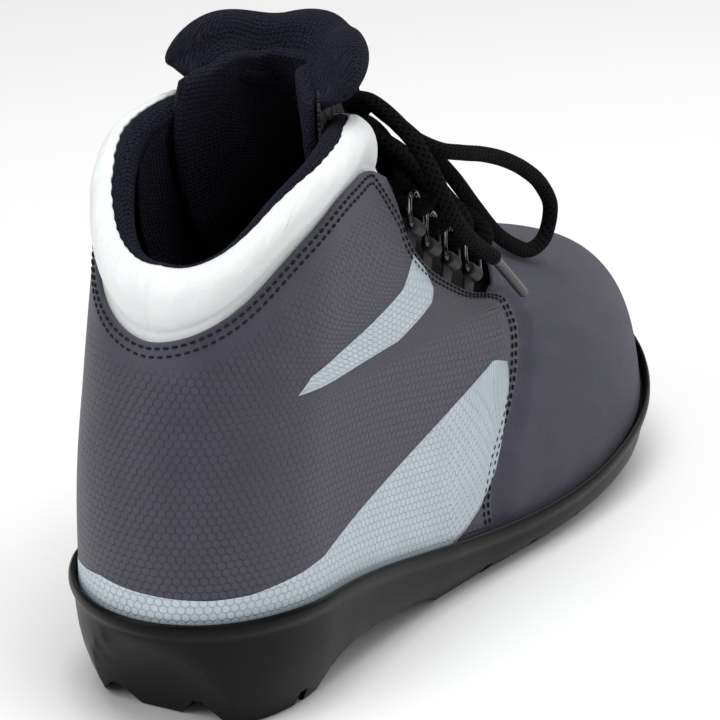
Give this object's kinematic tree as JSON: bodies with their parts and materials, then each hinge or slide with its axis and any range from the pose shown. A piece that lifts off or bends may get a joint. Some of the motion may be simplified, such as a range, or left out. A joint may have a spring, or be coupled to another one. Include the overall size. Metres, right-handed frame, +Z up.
{
  "type": "cross country ski boot",
  "caption": "Junior cross country ski boot: padded collar, tied lace through ring eyelets, and a two-groove binding sole with a steel toe bar.",
  "frame": {"origin": "centre of the sole's outline in plan, on the ground", "axes": "+X towards the toe, +Y towards the inner (medial) side of the right foot, +Z up"},
  "size_m": [0.2666, 0.096, 0.1698],
  "materials": {
    "polished_steel": "polished",
    "black_sole": "satin",
    "spring_steel": "brushed",
    "fibre_board": "matt fibre",
    "knit": "brushed fleece",
    "slate_synthetic": "embossed",
    "slate_softshell": "smooth",
    "stiffener": "matt",
    "pale_synthetic": "soft, fine grain",
    "foam": "open-cell foam",
    "black_cloth": "woven",
    "black_lace": "braided",
    "ring_tab": "satin",
    "black_enamel": "gloss",
    "aglet": "ribbed"
  },
  "bodies": {
    "boot": {"toe_bar": "polished_steel", "outsole": "black_sole", "shank": "spring_steel", "insole_board": "fibre_board", "footbed": "knit", "quarter": "slate_synthetic", "quarter_lining": "knit", "vamp": "slate_softshell", "vamp_lining": "knit", "toe_puff": "stiffener", "heel_counter": "stiffener", "collar_cover": "pale_synthetic", "collar_foam": "foam", "collar_lining": "knit", "gusset_outer": "black_cloth", "gusset_inner": "black_cloth", "ring_tab_outer_1": "ring_tab", "ring_tab_outer_2": "ring_tab", "ring_tab_outer_3": "ring_tab", "ring_tab_outer_4": "ring_tab", "ring_tab_inner_1": "ring_tab", "ring_tab_inner_2": "ring_tab", "ring_tab_inner_3": "ring_tab", "ring_tab_inner_4": "ring_tab", "lace": "black_lace", "lace_knot": "black_lace", "bow_loop_outer": "black_lace", "bow_loop_inner": "black_lace", "lace_end_outer": "black_lace", "lace_end_inner": "black_lace", "aglet_outer": "aglet", "aglet_inner": "aglet"},
    "tongue": {"tongue_shell": "black_cloth", "tongue_foam": "foam", "tongue_lining": "knit", "tongue_bolster": "knit"},
    "lace_ring_outer_1": {"lace_ring_outer_1": "black_enamel"},
    "lace_ring_outer_2": {"lace_ring_outer_2": "black_enamel"},
    "lace_ring_outer_3": {"lace_ring_outer_3": "black_enamel"},
    "lace_ring_outer_4": {"lace_ring_outer_4": "black_enamel"},
    "lace_ring_inner_1": {"lace_ring_inner_1": "black_enamel"},
    "lace_ring_inner_2": {"lace_ring_inner_2": "black_enamel"},
    "lace_ring_inner_3": {"lace_ring_inner_3": "black_enamel"},
    "lace_ring_inner_4": {"lace_ring_inner_4": "black_enamel"}
  },
  "joints": [
    {"name": "tongue_hinge", "type": "hinge", "parent": "boot", "child": "tongue", "pos_m": [0.06, 0.0008, 0.071], "axis": [0, -1, 0], "range_deg": [0, 2.5], "deforming": ["gusset_outer", "gusset_inner"]},
    {"name": "lace_ring_outer_1_hinge", "type": "hinge", "parent": "boot", "child": "lace_ring_outer_1", "pos_m": [-0.00004, -0.03245, 0.09046], "axis": [0.8069, -0.0833, -0.5848], "range_deg": [-5, 5]},
    {"name": "lace_ring_outer_2_hinge", "type": "hinge", "parent": "boot", "child": "lace_ring_outer_2", "pos_m": [-0.01215, -0.03205, 0.0976], "axis": [0.8042, -0.0611, -0.5912], "range_deg": [-5, 5]},
    {"name": "lace_ring_outer_3_hinge", "type": "hinge", "parent": "boot", "child": "lace_ring_outer_3", "pos_m": [-0.02292, -0.03157, 0.10503], "axis": [0.8025, -0.044, -0.5951], "range_deg": [-5, 5]},
    {"name": "lace_ring_outer_4_hinge", "type": "hinge", "parent": "boot", "child": "lace_ring_outer_4", "pos_m": [-0.03034, -0.03055, 0.11286], "axis": [0.8, -0.0264, -0.5994], "range_deg": [-5, 5]},
    {"name": "lace_ring_inner_1_hinge", "type": "hinge", "parent": "boot", "child": "lace_ring_inner_1", "pos_m": [-0.00005, 0.03326, 0.09047], "axis": [-0.8074, -0.0763, 0.5851], "range_deg": [-5, 5]},
    {"name": "lace_ring_inner_2_hinge", "type": "hinge", "parent": "boot", "child": "lace_ring_inner_2", "pos_m": [-0.01216, 0.03289, 0.09759], "axis": [-0.8046, -0.0542, 0.5913], "range_deg": [-5, 5]},
    {"name": "lace_ring_inner_3_hinge", "type": "hinge", "parent": "boot", "child": "lace_ring_inner_3", "pos_m": [-0.02294, 0.03249, 0.10501], "axis": [-0.8025, -0.036, 0.5956], "range_deg": [-5, 5]},
    {"name": "lace_ring_inner_4_hinge", "type": "hinge", "parent": "boot", "child": "lace_ring_inner_4", "pos_m": [-0.03036, 0.03155, 0.11286], "axis": [-0.7997, -0.0179, 0.6001], "range_deg": [-5, 5]}
  ]
}
